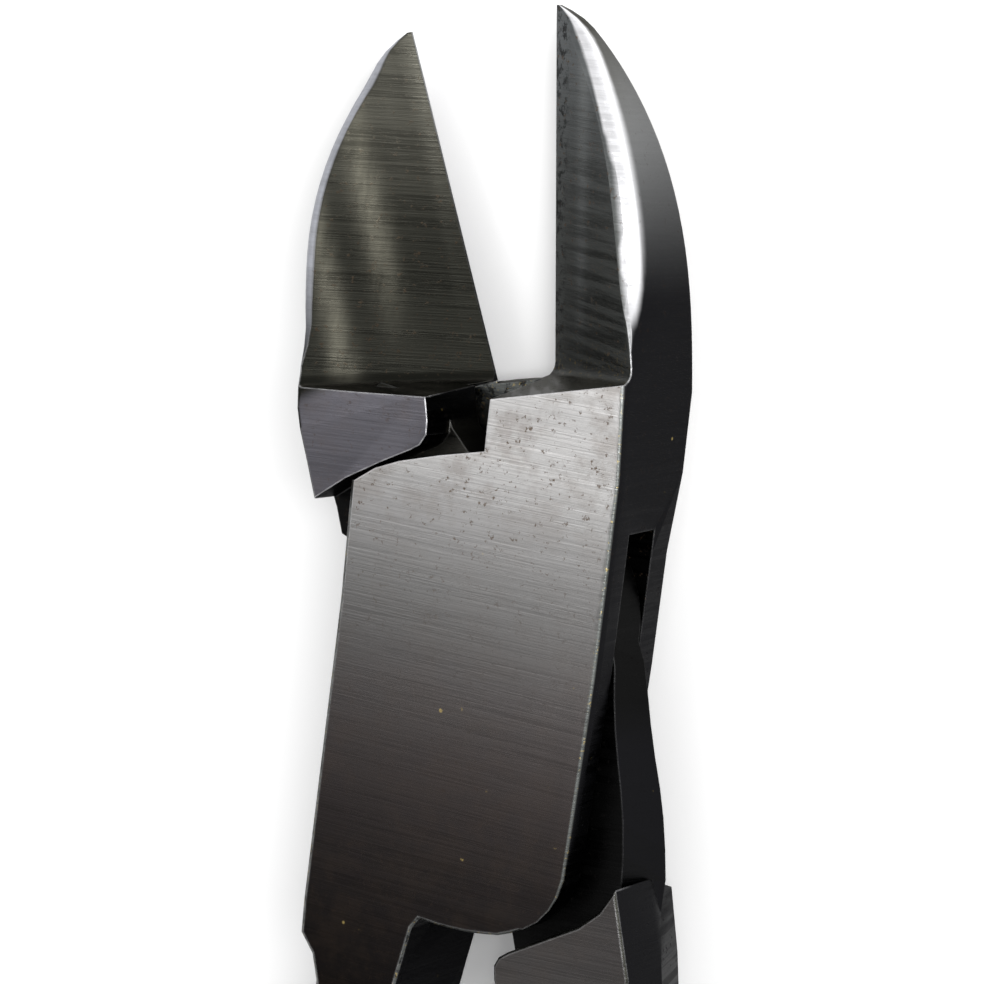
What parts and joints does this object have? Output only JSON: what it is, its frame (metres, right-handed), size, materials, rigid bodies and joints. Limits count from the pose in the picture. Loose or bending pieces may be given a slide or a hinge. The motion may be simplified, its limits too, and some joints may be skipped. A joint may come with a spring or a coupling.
{
  "type": "flush cutter",
  "caption": "Small box-jointed flush cutter with ground steel jaws, leaf return springs and soft two-part grips, for trimming component leads.",
  "frame": {"origin": "on the pivot axis, in the flat back face of the head", "axes": "+X to the right as seen from the front, +Y from the pivot towards the jaw tips, +Z along the pivot axis towards the bevelled front; jaws open at rest"},
  "size_m": [0.064, 0.1244, 0.01],
  "materials": {
    "head_steel": "satin ground, worn",
    "rivet_steel": "ground flush",
    "spring_steel": "bright rolled",
    "screw_steel": "blackened",
    "grip_plastic": "fine moulded texture",
    "grip_rubber": "soft matte"
  },
  "bodies": {
    "box_side": {"box_half": "head_steel", "pivot_rivet": "rivet_steel", "left_leaf_spring": "spring_steel", "left_spring_screw": "screw_steel", "left_grip_core": "grip_plastic", "left_grip_pad": "grip_rubber"},
    "lap_side": {"lap_half": "head_steel", "right_leaf_spring": "spring_steel", "right_spring_screw": "screw_steel", "right_grip_core": "grip_plastic", "right_grip_pad": "grip_rubber"}
  },
  "joints": [
    {"name": "jaw_pivot", "type": "hinge", "parent": "box_side", "child": "lap_side", "pos_m": [0, 0, 0.003], "axis": [0, 0, 1], "range_deg": [-16.3, 0], "stiffness_Nm_per_rad": 1.3, "springref_deg": 5.73, "deforming": ["left_leaf_spring", "right_leaf_spring"]}
  ]
}
